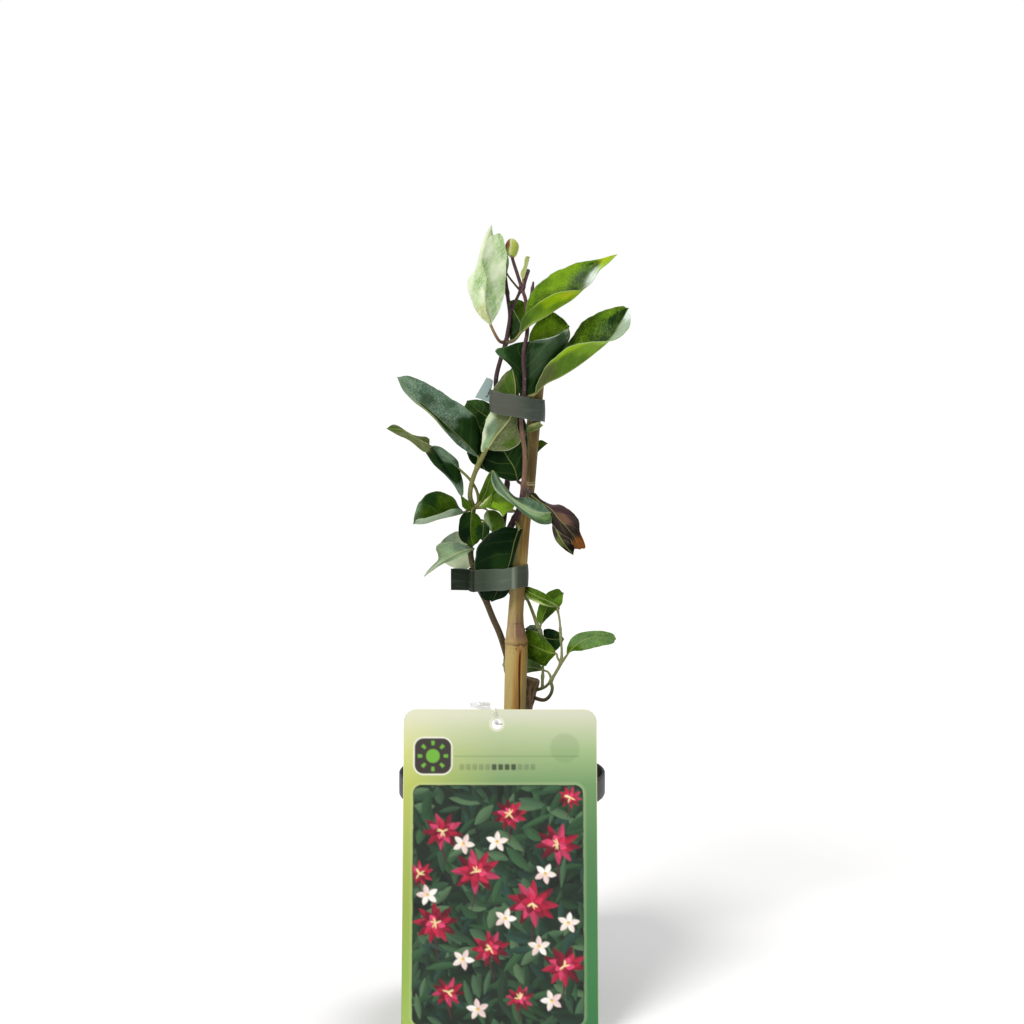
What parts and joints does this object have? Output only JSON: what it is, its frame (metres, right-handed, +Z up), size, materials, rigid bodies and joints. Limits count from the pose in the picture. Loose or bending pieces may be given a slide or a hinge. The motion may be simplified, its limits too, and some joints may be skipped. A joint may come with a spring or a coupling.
{
  "type": "potted climbing plant",
  "caption": "Young honeysuckle vine in a round nursery pot: twining stems with paired oval leaves, tied with tapes to a bamboo cane, and a plastic label hung in front.",
  "frame": {"origin": "middle of the pot's underside, on the surface that the pot stands on", "axes": "+Z up along the pot's axis, +X to the plant's right seen from the label's side, -Y towards the label"},
  "size_m": [0.1202, 0.1314, 0.3853],
  "materials": {
    "pot_plastic": "satin black moulded plastic",
    "soil": "damp crumbly peat",
    "bamboo": "satin straw-coloured cane with a node ring and a split",
    "bark": "rough flaking bark, sawn grey at the top",
    "foliage": "waxy leaves, dark and mottled above, paler with a grey bloom below, on purple-brown and olive stems",
    "young_foliage": "thin young leaves, mid green",
    "tie_tape": "soft stretchy dark grey-green tape",
    "label_plastic": null,
    "clear_strap": "clear milky plastic ribbon"
  },
  "bodies": {
    "root": {"pot": "pot_plastic", "potting_soil": "soil", "bamboo_cane": "bamboo", "woody_base": "bark", "left_leafy_stem": "foliage", "right_leafy_stem": "foliage", "middle_leafy_stem": "foliage", "low_leafy_shoot": "young_foliage", "upper_tape": "tie_tape", "lower_tape": "tie_tape", "label_card": "label_plastic", "label_strap": "clear_strap"}
  },
  "joints": []
}
